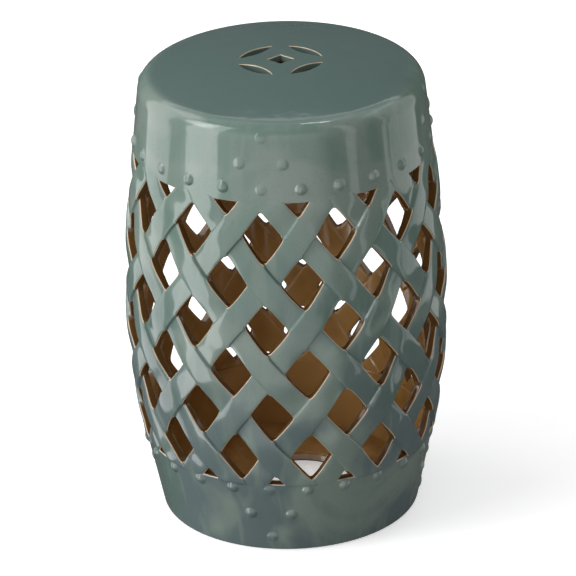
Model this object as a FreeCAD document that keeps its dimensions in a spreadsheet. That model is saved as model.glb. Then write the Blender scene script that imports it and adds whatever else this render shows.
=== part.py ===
import FreeCAD, Part
import math
import os
import Sketcher

# Barrel garden stool in glazed ceramic, millimetres, +Z up.
# The origin is the middle of the foot, on the ground. The front is -Y.
# The clay pieces are a foot band, a shoulder band, a seat slab, a floor plate,
# two sets of woven straps between the bands, and pressed-on clay studs.

DRIVING_SIZES = [
    ("foot_radius", 127.0, "outside of the foot, on the ground"),
    ("foot_band_radius", 143.5, "outside of the foot band at its top"),
    ("foot_band_height", 80.0, "ground to the top of the foot band"),
    ("foot_rounding", 2.0, "softened edges that the stool stands on"),
    ("belly_radius", 157.0, "widest outside radius"),
    ("belly_rise", 135.0, "foot band to the widest place"),
    ("shoulder_band_radius", 146.0, "outside of the shoulder band at its lower edge"),
    ("shoulder_band_height", 60.0, "height of the shoulder band's straight wall"),
    ("shoulder_radius", 139.5, "outside of the shoulder band at its top"),
    ("shoulder_rounding", 19.0, "rolled edge of the seat slab"),
    ("wall_thickness", 11.0, "foot and shoulder bands"),
    ("seat_crown_radius", 690.0, "sweep of the seat's gentle crown"),
    ("seat_thickness", 13.0, "seat slab, inside its rolled edge"),
    ("floor_thickness", 10.5, "floor plate"),
    ("floor_lift", 5.5, "ground to the underside of the floor plate"),
    ("floor_hole_radius", 51.5, "hand cut hole in the floor plate"),
    ("floor_hole_shift", 9.0, "how far the hole is cut off centre, to the right"),
    ("slip_joint", 0.2, "film of slip between two clay pieces"),
    ("straps_each_way", 13.0, "straps that lean one way"),
    ("crossing_rows", 6.0, "rows of crossings between the bands"),
    ("row_pitch", 46.9, "height from one row of crossings to the next"),
    ("first_row_rise", 30.5, "foot band to the lowest row"),
    ("last_row_rise", 35.0, "highest row to the shoulder band"),
    ("strap_width", 25.0, "straps, edge to edge, where they cross"),
    ("strap_waist", 0.9, "each edge of a strap, drawn in between two crossings"),
    ("strap_depth", 9.5, "inside face of the straps, in from the barrel's surface"),
    ("weave_relief", 3.4, "a strap on top, over the one below it"),
    ("crossing_gap", 0.3, "clearance where one strap passes another"),
    ("strap_foot_rise", 1.8, "left leaning straps, over the foot band that they stand on"),
    ("lattice_azimuth", 7.97, "turn of the lattice at its lowest row"),
    ("lattice_lean", -3.4, "turn of the lattice from the foot band to the shoulder band"),
    ("coin_half_width", 40.0, "coin piercing, middle to its side tips"),
    ("coin_half_depth", 35.2, "coin piercing, middle to its front tips"),
    ("coin_side_tip", 7.7, "side tips, off the middle line"),
    ("coin_front_tip", 8.6, "front tips, off the middle line"),
    ("petal_bulge", 5.8, "curve of the petals, each side"),
    ("coin_eye_half_width", 12.7, "middle hole, to its side corners"),
    ("coin_eye_half_depth", 11.1, "middle hole, to its front and rear corners"),
    ("studs_in_row", 24.0, "studs in each row"),
    ("stud_radius", 8.0, "ball that each stud is pressed from"),
    ("stud_sink", 5.0, "middle of the ball, in from the surface"),
    ("stud_azimuth", -8.6, "turn of the stud rows and of the first cluster"),
    ("upper_row_rise", 13.5, "shoulder band's lower edge to the upper row of studs"),
    ("upper_pair_rise", 38.5, "shoulder band's lower edge to the pair over the row"),
    ("upper_single_drop", 12.5, "top of the rolled edge down to the one over the pair"),
    ("lower_row_drop", 7.5, "foot band's top down to the lower row of studs"),
    ("lower_pair_drop", 36.5, "foot band's top down to the pair under the row"),
    ("lower_single_rise", 15.5, "ground to the one under the pair"),
    ("cluster_angle", 8.4, "each stud of a pair, off the cluster's middle"),
]
CLUSTERS = 4
# Lofted sections along a strap, and how far its loft and its notches run past what they cut, in rows.
STATIONS_PER_ROW = 8
STRAP_OVERRUN = 0.5
NOTCH_REACH = 0.75


# The sheet of driving sizes

doc = FreeCAD.newDocument("garden_stool")
sheet = doc.addObject("Spreadsheet::Sheet", "Sizes")
for row, (alias, number, note) in enumerate(DRIVING_SIZES, start=1):
    sheet.set(f"A{row}", alias)
    sheet.set(f"B{row}", str(number))
    sheet.set(f"C{row}", note)
    sheet.setAlias(f"B{row}", alias)
doc.recompute()


class Size:
    """A length with the sheet expression that gives it."""

    def __init__(self, value, text):
        self.value = value
        self.text = text

    def __add__(self, other):
        return Size(self.value + other.value, f"({self.text} + {other.text})")

    def __sub__(self, other):
        return Size(self.value - other.value, f"({self.text} - {other.text})")

    def __mul__(self, other):
        return Size(self.value * other.value, f"({self.text} * {other.text})")

    def __truediv__(self, other):
        return Size(self.value / other.value, f"({self.text} / {other.text})")

    def __neg__(self):
        return Size(-self.value, f"(0 - {self.text})")


def size(alias):
    return Size(float(sheet.get(alias)), f"Sizes.{alias}")


def number(value):
    return Size(value, str(value))


def root(value):
    return Size(math.sqrt(value.value), f"sqrt({value.text})")


AXIS_FOOT = FreeCAD.Vector(0, 0, 0)
AXIS = FreeCAD.Vector(0, 0, 1)
ZERO = number(0)
TWO = number(2)
OUT = (1, 2)
IN = (2, 1)
slip = size("slip_joint")
wall = size("wall_thickness")
band_top = size("foot_band_height")
rows = size("crossing_rows")
lattice_height = size("first_row_rise") + (rows - number(1)) * size("row_pitch") + size("last_row_rise")
lattice_top = band_top + lattice_height
wall_top = lattice_top + size("shoulder_band_height")

# The seat slab's rolled edge leaves the leaning wall tangent, and meets the crown tangent.
lean_run = size("shoulder_band_radius") - size("shoulder_radius")
lean_length = root(lean_run * lean_run + size("shoulder_band_height") * size("shoulder_band_height"))
lean_sine = lean_run / lean_length
lean_cosine = size("shoulder_band_height") / lean_length
roll_radius = size("shoulder_rounding")
roll_middle = size("shoulder_radius") - roll_radius * lean_cosine
roll_level = wall_top - roll_radius * lean_sine
roll_top = roll_level + roll_radius
crown = size("seat_crown_radius")
crown_reach = crown - roll_radius
crown_rise = root(crown_reach * crown_reach - roll_middle * roll_middle)
crown_level = roll_level - crown_rise
crown_edge = crown / crown_reach
seat_height = crown_level + crown


# Helpers for sketched bodies

def new_body(name):
    body = doc.addObject("PartDesign::Body", name)
    body.Label = name
    return body


def new_sketch(body, plane, name):
    sketch = body.newObject("Sketcher::SketchObject", name)
    origin = body.Origin.OriginFeatures
    sketch.AttachmentSupport = [(next(item for item in origin if item.Role == plane), "")]
    sketch.MapMode = "FlatFace"
    return sketch


def set_size(sketch, constraint, amount):
    index = sketch.addConstraint(constraint)
    sketch.setExpression(f"Constraints[{index}]", amount.text)


def hold_point(sketch, edge, end, across, up):
    """Hold one end of an edge at its distances from the sketch's origin."""
    if across is ZERO:
        sketch.addConstraint(Sketcher.Constraint("PointOnObject", edge, end, -2))
    else:
        set_size(sketch, Sketcher.Constraint("DistanceX", -1, 1, edge, end, across.value), across)
    if up is ZERO:
        sketch.addConstraint(Sketcher.Constraint("PointOnObject", edge, end, -1))
    else:
        set_size(sketch, Sketcher.Constraint("DistanceY", -1, 1, edge, end, up.value), up)


def arc_between(start, finish, radius):
    """The short arc from start to finish that bulges to the right of that way."""
    ax, ay = start
    bx, by = finish
    chord = math.hypot(bx - ax, by - ay)
    sagitta = radius - math.sqrt(radius * radius - chord * chord / 4)
    right = ((by - ay) / chord, -(bx - ax) / chord)
    middle = ((ax + bx) / 2 + right[0] * sagitta, (ay + by) / 2 + right[1] * sagitta)
    points = [FreeCAD.Vector(x, y, 0) for x, y in (start, middle, finish)]
    return Part.Arc(*points)


def draw_outline(sketch, corners, round_edges=None):
    """Draw a closed outline anticlockwise.

    round_edges gives an edge's number its radius and the side it bulges to. OUT and IN are
    also the numbers of the edge's first and last point, because a sketch turns an arc that
    bulges in the other way round.
    """
    round_edges = round_edges or {}
    first = sketch.GeometryCount
    count = len(corners)
    ends = [round_edges[n][1] if n in round_edges else OUT for n in range(count)]
    for n in range(count):
        start = (corners[n][0].value, corners[n][1].value)
        finish = (corners[(n + 1) % count][0].value, corners[(n + 1) % count][1].value)
        if n not in round_edges:
            sketch.addGeometry(Part.LineSegment(FreeCAD.Vector(*start, 0), FreeCAD.Vector(*finish, 0)))
        elif ends[n] is OUT:
            sketch.addGeometry(arc_between(start, finish, round_edges[n][0].value))
        else:
            sketch.addGeometry(arc_between(finish, start, round_edges[n][0].value))
    for n in range(count):
        after = (n + 1) % count
        sketch.addConstraint(
            Sketcher.Constraint("Coincident", first + n, ends[n][1], first + after, ends[after][0])
        )
        hold_point(sketch, first + n, ends[n][0], *corners[n])
        if n in round_edges:
            radius = round_edges[n][0]
            set_size(sketch, Sketcher.Constraint("Radius", first + n, radius.value), radius)


def revolve_outline(body, name, corners, round_edges=None):
    """Turn an outline in the XZ plane round the stool's axis."""
    sketch = new_sketch(body, "XZ_Plane", name + "_outline")
    draw_outline(sketch, corners, round_edges)
    turned = body.newObject("PartDesign::Revolution", name)
    turned.Profile = sketch
    turned.ReferenceAxis = (sketch, ["V_Axis"])
    turned.Angle = 360.0
    return turned


def cut_through(body, name, outlines):
    """Cut flat outlines straight up through a body."""
    sketch = new_sketch(body, "XY_Plane", name + "_outline")
    for corners, round_edges in outlines:
        draw_outline(sketch, corners, round_edges)
    pocket = body.newObject("PartDesign::Pocket", name)
    pocket.Profile = sketch
    pocket.Type = "ThroughAll"
    pocket.Reversed = True


def turn_about_axis(item, degrees):
    item.Placement = FreeCAD.Placement(AXIS_FOOT, FreeCAD.Rotation(AXIS, degrees))


# Foot band

foot_band = new_body("foot_band")
foot_ring = revolve_outline(foot_band, "foot_ring", [
    (size("foot_radius") - wall, ZERO),
    (size("foot_radius"), ZERO),
    (size("foot_band_radius"), band_top),
    (size("foot_band_radius") - wall, band_top),
])
doc.recompute()
ground_edges = [
    f"Edge{n}" for n, edge in enumerate(foot_ring.Shape.Edges, start=1)
    if max(abs(vertex.Z) for vertex in edge.Vertexes) < 1e-6
]
foot_fillet = foot_band.newObject("PartDesign::Fillet", "foot_fillet")
foot_fillet.Base = (foot_ring, ground_edges)
foot_fillet.setExpression("Radius", "Sizes.foot_rounding")


# Floor plate, luted inside the foot band, with its hand cut hole

floor_plate = new_body("floor_plate")
flare = (size("foot_band_radius") - size("foot_radius")) / band_top
floor_low = size("floor_lift")
floor_high = size("floor_lift") + size("floor_thickness")
floor_reach = size("foot_radius") - wall - slip
revolve_outline(floor_plate, "floor_disc", [
    (ZERO, floor_low),
    (floor_reach + flare * floor_low, floor_low),
    (floor_reach + flare * floor_high, floor_high),
    (ZERO, floor_high),
])
hole_sketch = new_sketch(floor_plate, "XY_Plane", "floor_hole_outline")
hole_centre = FreeCAD.Vector(size("floor_hole_shift").value, 0, 0)
hole_sketch.addGeometry(Part.Circle(hole_centre, FreeCAD.Vector(0, 0, 1), size("floor_hole_radius").value))
hold_point(hole_sketch, 0, 3, size("floor_hole_shift"), ZERO)
set_size(
    hole_sketch,
    Sketcher.Constraint("Radius", 0, size("floor_hole_radius").value),
    size("floor_hole_radius"),
)
floor_hole = floor_plate.newObject("PartDesign::Pocket", "floor_hole")
floor_hole.Profile = hole_sketch
floor_hole.Type = "ThroughAll"
floor_hole.Reversed = True


# Shoulder band

shoulder_band = new_body("shoulder_band")
revolve_outline(shoulder_band, "shoulder_ring", [
    (size("shoulder_band_radius") - wall, lattice_top),
    (size("shoulder_band_radius"), lattice_top),
    (size("shoulder_radius"), wall_top),
    (size("shoulder_radius") - wall, wall_top),
])


# Seat slab, whose rolled edge sits on the shoulder band, with the coin piercing

seat_slab = new_body("seat_slab")
under_crown = crown - size("seat_thickness")
rebate = size("shoulder_radius") - wall
rebate_top = crown_level + root(under_crown * under_crown - rebate * rebate)
revolve_outline(seat_slab, "seat_disc", [
    (ZERO, crown_level + under_crown),
    (rebate, rebate_top),
    (rebate, wall_top + slip),
    (size("shoulder_radius"), wall_top + slip),
    (roll_middle * crown_edge, crown_level + crown_rise * crown_edge),
    (ZERO, seat_height),
], {0: (under_crown, IN), 3: (roll_radius, OUT), 4: (crown, OUT)})
petals = []
side_x = size("coin_half_width")
side_y = size("coin_side_tip")
end_x = size("coin_front_tip")
end_y = size("coin_half_depth")
bulge = size("petal_bulge")
run = side_x - end_x
rise = end_y - side_y
quarter_chord = (run * run + rise * rise) / number(4)
petal_radius = (quarter_chord + bulge * bulge) / (TWO * bulge)
for far in (True, False):
    for right in (True, False):
        side_tip = (side_x if right else -side_x, side_y if far else -side_y)
        end_tip = (end_x if right else -end_x, end_y if far else -end_y)
        petals.append(([side_tip, end_tip], {0: (petal_radius, OUT), 1: (petal_radius, OUT)}))
eye_width = size("coin_eye_half_width")
eye_depth = size("coin_eye_half_depth")
petals.append(([(ZERO, -eye_depth), (eye_width, ZERO), (ZERO, eye_depth), (-eye_width, ZERO)], None))
cut_through(seat_slab, "coin_piercing", petals)


# The space inside the barrel's surface, which the studs are trimmed to

barrel_core = new_body("barrel_core")
revolve_outline(barrel_core, "core", [
    (ZERO, ZERO),
    (size("foot_radius") + slip, ZERO),
    (size("foot_band_radius") + slip, band_top),
    (size("shoulder_band_radius") + slip, lattice_top),
    (size("shoulder_radius") + slip, wall_top),
    (roll_middle, roll_top + slip),
    (ZERO, roll_top + slip),
], {4: (roll_radius + slip, OUT)})


# Studs: clay balls pressed on, so each is the part of a ball outside the barrel's surface

def wall_line(height):
    """Outside radius of the band that a stud sits on, at a height on its straight wall."""
    if height.value < band_top.value:
        return size("foot_radius") + flare * height
    return size("shoulder_band_radius") - lean_run / size("shoulder_band_height") * (height - lattice_top)


def pressed_stud(name, height):
    """A stud at the front of the barrel: a ball, its pole outwards, less the barrel."""
    ball = doc.addObject("Part::Sphere", name + "_ball")
    ball.Placement.Rotation = FreeCAD.Rotation(FreeCAD.Vector(1, 0, 0), 90)
    ball.setExpression("Radius", size("stud_radius").text)
    ball.setExpression("Placement.Base.y", (size("stud_sink") - wall_line(height)).text)
    ball.setExpression("Placement.Base.z", height.text)
    stud = doc.addObject("Part::Cut", name)
    stud.Base = ball
    stud.Tool = barrel_core
    return stud


def stud_group(name, places):
    """One node of separate studs, from each one's pattern and its turn about the axis."""
    shapes = []
    for stud, turn in places:
        shape = stud.Shape.copy()
        shape.rotate(AXIS_FOOT, AXIS, turn)
        shapes.append(shape)
    group = doc.addObject("Part::Feature", name)
    group.Shape = Part.makeCompound(shapes)
    group.Placement = FreeCAD.Placement()
    group.Label = name
    return group


stud_groups = []
stud_heights = {
    "upper": (
        lattice_top + size("upper_row_rise"),
        lattice_top + size("upper_pair_rise"),
        roll_top - size("upper_single_drop"),
    ),
    "lower": (
        band_top - size("lower_row_drop"),
        band_top - size("lower_pair_drop"),
        size("lower_single_rise"),
    ),
}
first_turn = size("stud_azimuth").value
spread = size("cluster_angle").value
stud_count = int(size("studs_in_row").value)
for place, (row_height, pair_height, single_height) in stud_heights.items():
    row_stud = pressed_stud(place + "_row_stud", row_height)
    pair_stud = pressed_stud(place + "_pair_stud", pair_height)
    single_stud = pressed_stud(place + "_single_stud", single_height)
    doc.recompute()
    turns = [first_turn + n * 360 / stud_count for n in range(stud_count)]
    stud_groups.append(stud_group(place + "_stud_row", [(row_stud, turn) for turn in turns]))
    for n in range(CLUSTERS):
        turn = first_turn + n * 360 / CLUSTERS
        places = [(pair_stud, turn - spread), (pair_stud, turn + spread), (single_stud, turn)]
        stud_groups.append(stud_group(f"{place}_stud_cluster_{n + 1}", places))
doc.recompute()


# Straps: the barrel's surface between the bands, and the straps woven on it

def wall_radius(height):
    """Outside radius of the barrel's surface, before the weave's relief."""
    low, high = band_top.value, lattice_top.value
    belly, belly_height = size("belly_radius").value, low + size("belly_rise").value
    if height < belly_height:
        slope = flare.value
        start, end, span = size("foot_band_radius").value, belly, belly_height - low
        along = (height - low) / span
        start_pull, end_pull = slope * span, 0.0
    else:
        slope = -lean_run.value / size("shoulder_band_height").value
        start, end, span = belly, size("shoulder_band_radius").value, high - belly_height
        along = (height - belly_height) / span
        start_pull, end_pull = 0.0, slope * span
    if height < low:
        return start + slope * (height - low)
    if height > high:
        return end + slope * (height - high)
    square, cube = along * along, along ** 3
    rise = 3 * square - 2 * cube
    return (
        start * (1 - rise) + end * rise
        + start_pull * (cube - 2 * square + along)
        + end_pull * (cube - square)
    )


def smooth_step(value):
    value = min(1.0, max(0.0, value))
    return value * value * (3 - 2 * value)


ROWS = int(size("crossing_rows").value)
STRAPS = int(size("straps_each_way").value)
PITCH = size("row_pitch").value
FIRST_ROW = (band_top + size("first_row_rise")).value
HALF_TURN = 180.0 / STRAPS
ARC_STEP = math.radians(HALF_TURN) * size("belly_radius").value
STEP_LENGTH = math.hypot(ARC_STEP, PITCH)
STRAP_SINE = PITCH / STEP_LENGTH
STRAP_COSINE = ARC_STEP / STEP_LENGTH
HALF_WIDTH = size("strap_width").value / 2
WAIST = size("strap_waist").value
RELIEF = size("weave_relief").value
GAP = size("crossing_gap").value
# Rows from a crossing's middle to its far and near corners, along a strap's edge.
CROSSING_SKEW = abs(STRAP_COSINE ** 2 - STRAP_SINE ** 2)
CROSSING_REACH = HALF_WIDTH / (2 * STRAP_SINE * STRAP_COSINE) / STEP_LENGTH
FAR_CORNER = CROSSING_REACH * (1 + CROSSING_SKEW)
NEAR_CORNER = CROSSING_REACH * (1 - CROSSING_SKEW)
FOOT_ROW = -size("first_row_rise").value / PITCH
HEAD_ROW = ROWS - 1 + size("last_row_rise").value / PITCH


def strap_turn(lean, start_turn, row):
    """Degrees round from the front of a strap's middle line, at a row. lean is 1 to the right."""
    twist = size("lattice_lean").value * row * PITCH / lattice_height.value
    return start_turn + lean * row * HALF_TURN + twist


def on_top(lean, row):
    """The straps that lean right pass over in every second row, from the second row up."""
    return (row % 2 == 1) == (lean == 1)


def weave_height(lean, row):
    """Outward place of a strap's face at a row, level with the bands at their edges."""
    knots = [(FOOT_ROW, FOOT_ROW, 0.0 if lean == 1 else size("strap_foot_rise").value)]
    for n in range(ROWS):
        level = RELIEF / 2 if on_top(lean, n) else -RELIEF / 2 - GAP
        knots.append((n - FAR_CORNER, n + FAR_CORNER, level))
    knots.append((HEAD_ROW, HEAD_ROW, 0.0))
    for before, after in zip(knots, knots[1:]):
        if row <= after[0]:
            along = (row - before[1]) / (after[0] - before[1])
            return before[2] + (after[2] - before[2]) * smooth_step(along)
        if row <= after[1]:
            return after[2]
    return knots[-1][2]


def half_width(row):
    """Half a strap's width at a row: full where straps cross, drawn in between."""
    past_corner = max(0.0, abs(row - round(row)) - NEAR_CORNER) / (0.5 - NEAR_CORNER)
    return HALF_WIDTH - WAIST * past_corner * (2 - past_corner)


def surface_point(turn, height, offset=0.0):
    reach = wall_radius(height) + offset
    return FreeCAD.Vector(reach * math.sin(turn), -reach * math.cos(turn), height)


def middle_line(lean, start_turn, row):
    turn = math.radians(strap_turn(lean, start_turn, row))
    return surface_point(turn, FIRST_ROW + row * PITCH)


def strap_section(lean, start_turn, row, outer, inner, reach):
    """A strap's outline in the plane square to its run: curved faces joined by straight sides."""
    height = FIRST_ROW + row * PITCH
    turn = math.radians(strap_turn(lean, start_turn, row))
    middle = middle_line(lean, start_turn, row)
    nearby = 0.01
    run = middle_line(lean, start_turn, row + nearby) - middle_line(lean, start_turn, row - nearby)
    run.normalize()
    faces = []
    for offset in (outer, inner):
        points = []
        for side in (-1, 0, 1):
            z = height - lean * side * reach * STRAP_COSINE
            angle = turn + side * reach * STRAP_SINE / wall_radius(height)
            point = surface_point(angle, z, offset)
            points.append(point - run * (point - middle).dot(run))
        faces.append(points)
    front, back = faces
    edges = [
        Part.Arc(*front).toShape(),
        Part.LineSegment(front[2], back[2]).toShape(),
        Part.Arc(back[2], back[1], back[0]).toShape(),
        Part.LineSegment(back[0], front[0]).toShape(),
    ]
    return Part.Wire(edges)


def strap_solid(lean, start_turn, rows, outer, inner, clearance=0.0):
    """Ruled loft between rows[0] and rows[1]. outer gives the face's place at a row."""
    count = max(2, round((rows[1] - rows[0]) * STATIONS_PER_ROW))
    sections = []
    for n in range(count + 1):
        row = rows[0] + (rows[1] - rows[0]) * n / count
        reach = half_width(row) + clearance
        sections.append(strap_section(lean, start_turn, row, outer(row), inner, reach))
    return Part.makeLoft(sections, True, True)


def lattice_zone():
    """The room between the bands that the straps are cut to."""
    low = band_top.value + slip.value
    high = lattice_top.value - slip.value
    stations = ROWS * STATIONS_PER_ROW
    widest = max(wall_radius(low + (high - low) * n / stations) for n in range(stations + 1))
    return Part.makeCylinder(widest + RELIEF * 2, high - low, FreeCAD.Vector(0, 0, low))


def room_for(lean, start_turn, row, face):
    """The space that a crossing strap takes at a row, from face inwards, with its clearance."""
    return strap_solid(
        lean, start_turn, (row - NOTCH_REACH, row + NOTCH_REACH), lambda _: face,
        -size("strap_depth").value - RELIEF, GAP,
    )


def woven_strap(lean, start_turn):
    """One strap, cut at the bands and notched at the back where it passes on top."""
    strap = strap_solid(
        lean, start_turn, (FOOT_ROW - STRAP_OVERRUN, HEAD_ROW + STRAP_OVERRUN),
        lambda row: weave_height(lean, row), -size("strap_depth").value,
    )
    strap = strap.common(lattice_zone())
    notches = []
    for row in range(-1, ROWS + 1):
        other_start = start_turn + lean * 2 * row * HALF_TURN
        inside_rows = 0 <= row < ROWS
        if on_top(lean, row) and inside_rows:
            notches.append(room_for(-lean, other_start, row, -RELIEF / 2))
        if not on_top(lean, row) and not inside_rows:
            notches.append(room_for(-lean, other_start, row, RELIEF * 2))
    for notch in notches:
        strap = strap.cut(notch)
    return strap


# The straps of each lean are one shape, turned round the axis in equal steps.
straps = []
first_strap_turn = size("lattice_azimuth").value + HALF_TURN
for lean, side in ((1, "right"), (-1, "left")):
    shape = woven_strap(lean, first_strap_turn).Solids[0]
    for n in range(STRAPS):
        strap = doc.addObject("Part::Feature", f"strap_{side}_{n + 1:02d}")
        strap.Shape = shape
        turn_about_axis(strap, n * 360 / STRAPS)
        strap.Label = strap.Name
        straps.append(strap)
doc.recompute()


# Check every object, then write one file for each piece

for item in doc.Objects:
    if "Invalid" in item.State or "Error" in item.State:
        raise RuntimeError(f"{item.Name} did not build: {item.State}")
pieces = [foot_band, floor_plate, shoulder_band, seat_slab] + straps + stud_groups
for piece in pieces:
    if piece.Shape.isNull() or not piece.Shape.isValid() or not piece.Shape.Solids:
        raise RuntimeError(f"{piece.Label} is not a valid solid")
os.makedirs("parts", exist_ok=True)
for piece in pieces:
    piece.Shape.exportStep(f"parts/{piece.Label}.step")
    print(f"{piece.Label}: {len(piece.Shape.Solids)} solids, {piece.Shape.Volume / 1000:.1f} cm3")
print(f"height {seat_height.value:.1f} mm, belly {2 * size('belly_radius').value:.1f} mm across")
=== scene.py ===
import math

import bmesh
import bpy
from mathutils import Matrix, Vector


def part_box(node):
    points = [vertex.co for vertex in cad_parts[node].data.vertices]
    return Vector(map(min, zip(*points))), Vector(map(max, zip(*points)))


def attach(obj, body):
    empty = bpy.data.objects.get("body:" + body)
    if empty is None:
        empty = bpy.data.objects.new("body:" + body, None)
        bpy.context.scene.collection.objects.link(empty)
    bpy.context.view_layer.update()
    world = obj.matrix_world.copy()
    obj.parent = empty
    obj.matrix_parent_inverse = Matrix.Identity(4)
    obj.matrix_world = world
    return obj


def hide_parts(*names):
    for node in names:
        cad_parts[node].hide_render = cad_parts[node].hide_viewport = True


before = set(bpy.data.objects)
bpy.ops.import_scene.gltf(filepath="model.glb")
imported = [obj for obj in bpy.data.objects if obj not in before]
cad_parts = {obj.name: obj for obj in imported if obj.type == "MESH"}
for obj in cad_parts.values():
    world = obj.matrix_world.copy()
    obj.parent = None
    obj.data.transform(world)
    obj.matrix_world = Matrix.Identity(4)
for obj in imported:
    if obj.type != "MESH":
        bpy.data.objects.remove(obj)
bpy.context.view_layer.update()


# Foot band. A clay hoop that flares from the foot up to the lattice.
# It is dipped in the sage glaze outside and glazed brown inside, and its upper edge,
# where the glaze runs thin, shows the tan clay.

MM = 0.001
BAND_STEPS = 192
foot_band_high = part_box("foot_band")[1]
band_top = foot_band_high.z
foot_band_radius = foot_band_high.x
foot_radius = 127 * MM
wall_thickness = 11 * MM
foot_flare = (foot_band_radius - foot_radius) / band_top
foot_edge_radius = 2.2 * MM
band_lip_radius = 1.3 * MM
band_lip_width = 2.5 * MM
# How far from the band's upper edge the tan clay starts to show, and where it shows in full.
lip_tan_start, lip_tan_full = 1.0 * MM, 0.3 * MM
# How far under the outside face the tan ends, the cut edge turns brown, and the inside begins.
tan_end, tan_gone = 0.8 * MM, 1.6 * MM
cut_brown_start, cut_brown_full = 0.9 * MM, 2.0 * MM
inside_start, inside_full = wall_thickness - 2 * MM, wall_thickness - MM
bare_foot_height = 0.3 * MM
CUT_BROWN = 0.6

sage_upper = (0.150, 0.225, 0.190, 1)
sage_lower = (0.125, 0.165, 0.168, 1)
# Painted shade: the darker sage that the flat of the seat is painted in.
sage_seat_shade = (0.104, 0.158, 0.147, 1)
sage_pale = (0.205, 0.262, 0.228, 1)
sage_deep = (0.105, 0.165, 0.140, 1)
tan_clay = (0.62, 0.47, 0.33, 1)
brown_cut = (0.125, 0.062, 0.018, 1)
brown_dark = (0.29, 0.145, 0.036, 1)
brown_warm = (0.54, 0.31, 0.11, 1)
# Heights between which the sage turns from its darker, bluer lower tone to its upper one, and at which
# the flat of the seat turns to a darker sage that is painted shade.
tone_low, tone_high = 50 * MM, 400 * MM
seat_shade_low, seat_shade_high = 453.5 * MM, 457.5 * MM


def new_group(name, inputs, outputs):
    """A shader node group with its named sockets, and its input and output nodes."""
    tree = bpy.data.node_groups.new(name, "ShaderNodeTree")
    for label, kind, value in inputs:
        socket = tree.interface.new_socket(label, in_out="INPUT", socket_type=kind)
        socket.default_value = value
    for label, kind in outputs:
        tree.interface.new_socket(label, in_out="OUTPUT", socket_type=kind)
    return tree, tree.nodes.new("NodeGroupInput"), tree.nodes.new("NodeGroupOutput")


def noise(tree, place, scale, detail=2.0, distortion=0.0):
    """A noise node that reads a place in metres."""
    node = tree.nodes.new("ShaderNodeTexNoise")
    node.inputs["Scale"].default_value = scale
    node.inputs["Detail"].default_value = detail
    node.inputs["Distortion"].default_value = distortion
    tree.links.new(place, node.inputs["Vector"])
    return node.outputs["Fac"]


def ramp(tree, value, low, high):
    """A smooth 0 to 1 between two readings."""
    node = tree.nodes.new("ShaderNodeMapRange")
    node.interpolation_type = "SMOOTHSTEP"
    node.inputs["From Min"].default_value = low
    node.inputs["From Max"].default_value = high
    tree.links.new(value, node.inputs["Value"])
    return node.outputs["Result"]


def sums(tree, operation, first, second):
    """A math node on two sockets, or on a socket and a plain number."""
    node = tree.nodes.new("ShaderNodeMath")
    node.operation = operation
    for slot, term in zip(node.inputs, (first, second)):
        if isinstance(term, (int, float)):
            slot.default_value = term
        else:
            tree.links.new(term, slot)
    return node.outputs["Value"]


def blend_colours(tree, share, first, second):
    """Mix two colours, each a socket or a plain colour, by a share from 0 to 1."""
    node = tree.nodes.new("ShaderNodeMix")
    node.data_type = "RGBA"
    tree.links.new(share, node.inputs["Factor"])
    for slot, colour in zip((node.inputs["A"], node.inputs["B"]), (first, second)):
        # A colour mix keeps its own sockets behind those for numbers.
        target = next(s for s in node.inputs if s.name == slot.name and s.type == "RGBA")
        if isinstance(colour, tuple):
            target.default_value = colour
        else:
            tree.links.new(colour, target)
    return next(s for s in node.outputs if s.type == "RGBA")


glaze_flow, flow_in, flow_out = new_group(
    "glaze_flow",
    [("Cloud Scale", "NodeSocketFloat", 9.0), ("Speckle Scale", "NodeSocketFloat", 420.0)],
    [("Clouds", "NodeSocketFloat"), ("Runs", "NodeSocketFloat"), ("Speckle", "NodeSocketFloat"),
     ("Surface", "NodeSocketFloat")],
)
flow_place = glaze_flow.nodes.new("ShaderNodeTexCoord").outputs["Object"]
flow_clouds = noise(glaze_flow, flow_place, 9.0, 3.0, 0.6)
glaze_flow.links.new(flow_in.outputs["Cloud Scale"], flow_clouds.node.inputs["Scale"])
flow_speckle = noise(glaze_flow, flow_place, 420.0, 1.0)
glaze_flow.links.new(flow_in.outputs["Speckle Scale"], flow_speckle.node.inputs["Scale"])
run_stretch = glaze_flow.nodes.new("ShaderNodeMapping")
run_stretch.inputs["Scale"].default_value = (1.0, 1.0, 0.16)
glaze_flow.links.new(flow_place, run_stretch.inputs["Vector"])
flow_runs = noise(glaze_flow, run_stretch.outputs["Vector"], 70.0, 2.0, 0.3)
flow_ripple = noise(glaze_flow, flow_place, 26.0, 1.5)
flow_height = sums(glaze_flow, "ADD", flow_ripple, sums(glaze_flow, "MULTIPLY", flow_runs, 0.35))
for label, socket in (
    ("Clouds", flow_clouds), ("Runs", flow_runs), ("Speckle", flow_speckle), ("Surface", flow_height),
):
    glaze_flow.links.new(socket, flow_out.inputs[label])


def glaze_ripple(tree, height, bsdf, strength, distance):
    """The glaze's slightly uneven surface."""
    bump = tree.nodes.new("ShaderNodeBump")
    bump.inputs["Strength"].default_value = strength
    bump.inputs["Distance"].default_value = distance
    tree.links.new(height, bump.inputs["Height"])
    tree.links.new(bump.outputs["Normal"], bsdf.inputs["Normal"])


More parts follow.
